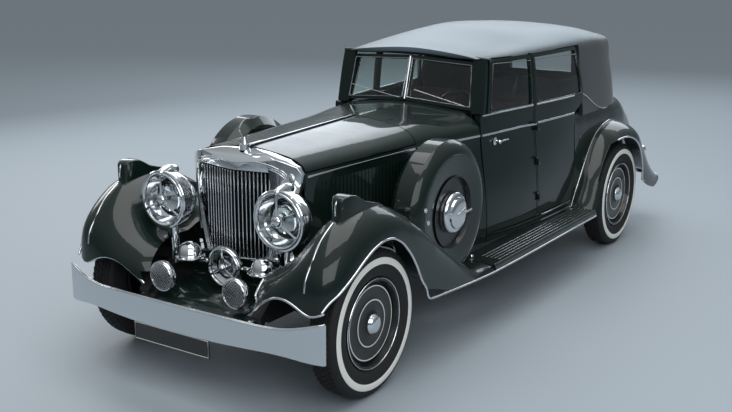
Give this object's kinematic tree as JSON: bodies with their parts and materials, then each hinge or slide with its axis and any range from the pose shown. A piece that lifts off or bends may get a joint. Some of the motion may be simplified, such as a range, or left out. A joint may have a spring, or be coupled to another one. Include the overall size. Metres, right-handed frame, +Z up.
{
  "type": "vintage luxury car",
  "caption": "Long four-door vintage luxury tourer with an upright slatted radiator, sweeping separate wings, side-mounted spare wheels and a raised folding hood.",
  "frame": {"origin": "on the floor, under the middle of the car's length and width", "axes": "+Z up, the car faces -Y, its left side is +X"},
  "size_m": [1.6834, 4.66, 1.6001],
  "materials": {
    "body_paint": "very dark green gloss",
    "chrome": "polished",
    "black_paint": "black enamel",
    "glass": "clear",
    "tyre": "black rubber with a white sidewall",
    "cast_iron": "painted iron",
    "leather": "dark brown",
    "hood_cloth": "dark weatherproof cloth",
    "wood": "dark varnished"
  },
  "bodies": {
    "car": {"body_sides": "body_paint", "bonnet_hinge": "chrome", "bonnet_sides": "body_paint", "chassis_frame": "black_paint", "dashboard": "wood", "driving_lamps": "chrome", "engine_block": "cast_iron", "floor_pan": "black_paint", "front_apron": "body_paint", "front_axle": "black_paint", "front_bumper": "chrome", "front_seats": "leather", "front_wing_left": "body_paint", "front_wing_right": "body_paint", "headlamps": "chrome", "hood": "hood_cloth", "horns": "chrome", "lamp_posts": "chrome", "number_plates": "black_paint", "radiator_cap": "chrome", "radiator_grille": "chrome", "radiator_shell": "chrome", "rear_axle": "black_paint", "rear_body": "body_paint", "rear_bumper": "chrome", "rear_seat": "leather", "rear_wing_left": "body_paint", "rear_wing_right": "body_paint", "running_boards": "black_paint", "scuttle": "body_paint", "spare_covers": "body_paint", "springs": "black_paint", "tail_lamps": "chrome", "windscreen_frame": "chrome", "windscreen_glass": "glass"},
    "knuckle_left": {"knuckle_left": "black_paint"},
    "knuckle_right": {"knuckle_right": "black_paint"},
    "wheel_front_left": {"tyre_front_left": "tyre", "wheel_front_left": "black_paint"},
    "wheel_front_right": {"tyre_front_right": "tyre", "wheel_front_right": "black_paint"},
    "wheel_rear_left": {"tyre_rear_left": "tyre", "wheel_rear_left": "black_paint"},
    "wheel_rear_right": {"tyre_rear_right": "tyre", "wheel_rear_right": "black_paint"},
    "door_front_left": {"door_front_left": "body_paint", "window_front_left": "glass"},
    "door_front_right": {"door_front_right": "body_paint", "window_front_right": "glass"},
    "door_rear_left": {"door_rear_left": "body_paint", "window_rear_left": "glass"},
    "door_rear_right": {"door_rear_right": "body_paint", "window_rear_right": "glass"},
    "bonnet_left": {"bonnet_top_left": "body_paint"},
    "bonnet_right": {"bonnet_top_right": "body_paint"},
    "boot_lid": {"boot_lid": "body_paint"},
    "steering_wheel": {"steering_wheel": "black_paint"}
  },
  "joints": [
    {"name": "steer_left", "type": "hinge", "parent": "car", "child": "knuckle_left", "pos_m": [0.596, -1.74, 0.368], "axis": [0, 0, 1], "range_deg": [-32, 32]},
    {"name": "steer_right", "type": "hinge", "parent": "car", "child": "knuckle_right", "pos_m": [-0.596, -1.74, 0.368], "axis": [0, 0, 1], "range_deg": [-32, 32]},
    {"name": "steering_wheel_turn", "type": "hinge", "parent": "car", "child": "steering_wheel", "pos_m": [0.29, 0.06, 1.068], "axis": [0, 0.866, 0.5], "range_deg": [-450, 450]},
    {"name": "spin_front_left", "type": "hinge", "parent": "knuckle_left", "child": "wheel_front_left", "pos_m": [0.711, -1.74, 0.368], "axis": [1, 0, 0], "continuous": true},
    {"name": "spin_front_right", "type": "hinge", "parent": "knuckle_right", "child": "wheel_front_right", "pos_m": [-0.711, -1.74, 0.368], "axis": [1, 0, 0], "continuous": true},
    {"name": "spin_rear_left", "type": "hinge", "parent": "car", "child": "wheel_rear_left", "pos_m": [0.711, 1.46, 0.368], "axis": [1, 0, 0], "continuous": true},
    {"name": "spin_rear_right", "type": "hinge", "parent": "car", "child": "wheel_rear_right", "pos_m": [-0.711, 1.46, 0.368], "axis": [1, 0, 0], "continuous": true},
    {"name": "door_front_left_swing", "type": "hinge", "parent": "car", "child": "door_front_left", "pos_m": [0.67168, 0.349, 0.38], "axis": [-0.0738, 0, 0.9973], "range_deg": [0, 65]},
    {"name": "door_rear_left_swing", "type": "hinge", "parent": "car", "child": "door_rear_left", "pos_m": [0.67168, 0.349, 0.38], "axis": [0.0738, 0, -0.9973], "range_deg": [0, 65]},
    {"name": "door_front_right_swing", "type": "hinge", "parent": "car", "child": "door_front_right", "pos_m": [-0.67168, 0.349, 0.38], "axis": [-0.0738, 0, -0.9973], "range_deg": [0, 65]},
    {"name": "door_rear_right_swing", "type": "hinge", "parent": "car", "child": "door_rear_right", "pos_m": [-0.67168, 0.349, 0.38], "axis": [0.0738, 0, 0.9973], "range_deg": [0, 65]},
    {"name": "bonnet_left_lift", "type": "hinge", "parent": "car", "child": "bonnet_left", "pos_m": [0, -1.7137, 1.143], "axis": [0, -0.9995, -0.0321], "range_deg": [0, 60]},
    {"name": "bonnet_right_lift", "type": "hinge", "parent": "car", "child": "bonnet_right", "pos_m": [0, -1.7137, 1.143], "axis": [0, 0.9995, 0.0321], "range_deg": [0, 60]},
    {"name": "boot_lid_drop", "type": "hinge", "parent": "car", "child": "boot_lid", "pos_m": [0, 2.319, 0.573], "axis": [-1, 0, 0], "range_deg": [0, 80]}
  ],
  "couplings": [
    {"joint": "steer_right", "follows": "steer_left", "ratio": 1},
    {"joint": "steering_wheel_turn", "follows": "steer_left", "ratio": 14}
  ]
}
